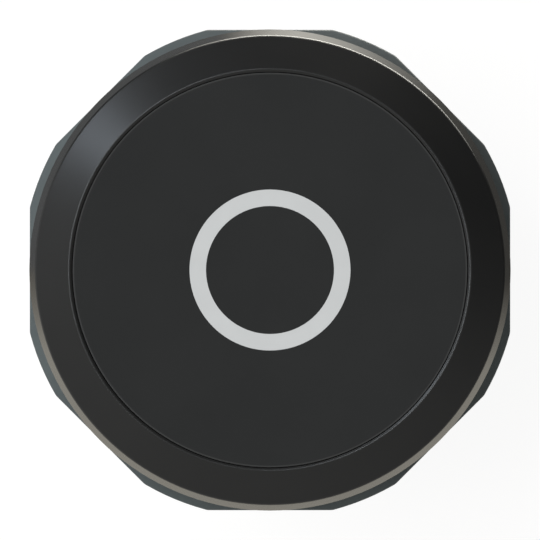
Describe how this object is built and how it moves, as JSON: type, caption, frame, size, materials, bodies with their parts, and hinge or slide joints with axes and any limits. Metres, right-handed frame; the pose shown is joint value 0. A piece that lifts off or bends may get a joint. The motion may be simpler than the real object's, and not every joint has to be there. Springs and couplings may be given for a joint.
{
  "type": "arcade button",
  "caption": "Screw-in arcade push button with a flat plunger in a bevelled bezel, a threaded barrel, an octagonal lock nut and a snap-in lever switch with push-on tabs.",
  "frame": {"origin": "centre of the bezel's panel face, on the button's axis", "axes": "+Z out of the panel towards the player, +X along the switch from the common tab to the output tab"},
  "size_m": [0.033, 0.033, 0.034],
  "materials": {
    "bezel_plastic": "satin moulded",
    "plunger_plastic": "fine matt",
    "ring_plastic": "fine matt",
    "nut_plastic": "matt moulded",
    "switch_plastic": "matt moulded",
    "actuator_plastic": "satin",
    "spring_steel": "drawn wire",
    "pin_steel": "plain",
    "contact_brass": "rolled strip",
    "contact_silver": "plain",
    "terminal_tin": "tinned brass"
  },
  "bodies": {
    "housing": {"bezel_body": "bezel_plastic", "switch_carrier": "switch_plastic", "switch_case": "switch_plastic", "switch_cover": "switch_plastic", "cover_pins": "pin_steel", "common_terminal": "terminal_tin", "output_terminal": "terminal_tin", "fixed_contact": "contact_silver", "return_spring": "spring_steel", "bow_spring": "spring_steel"},
    "nut": {"lock_nut": "nut_plastic"},
    "button": {"plunger": "plunger_plastic", "ring_inlay": "ring_plastic"},
    "actuator": {"switch_actuator": "actuator_plastic"},
    "arm": {"contact_arm": "contact_brass", "arm_contact": "contact_silver"}
  },
  "joints": [
    {"name": "press", "type": "slide", "parent": "housing", "child": "button", "axis": [0, 0, -1], "range_m": [0, 0.002], "stiffness_N_per_m": 240, "springref_m": -0.0022, "deforming": ["return_spring", "bow_spring"]},
    {"name": "actuator_push", "type": "slide", "parent": "housing", "child": "actuator", "axis": [0, 0, -1], "range_m": [0, 0.002]},
    {"name": "arm_swing", "type": "hinge", "parent": "housing", "child": "arm", "pos_m": [-0.0068, 0, -0.0153], "axis": [0, 1, 0], "range_deg": [0, 16.75]},
    {"name": "nut_run", "type": "slide", "parent": "housing", "child": "nut", "axis": [0, 0, -1], "range_m": [-0.0009, 0.0105]}
  ],
  "couplings": [
    {"joint": "actuator_push", "follows": "press", "ratio": 1},
    {"joint": "arm_swing", "follows": "press", "rad_per_m": 146.01}
  ]
}
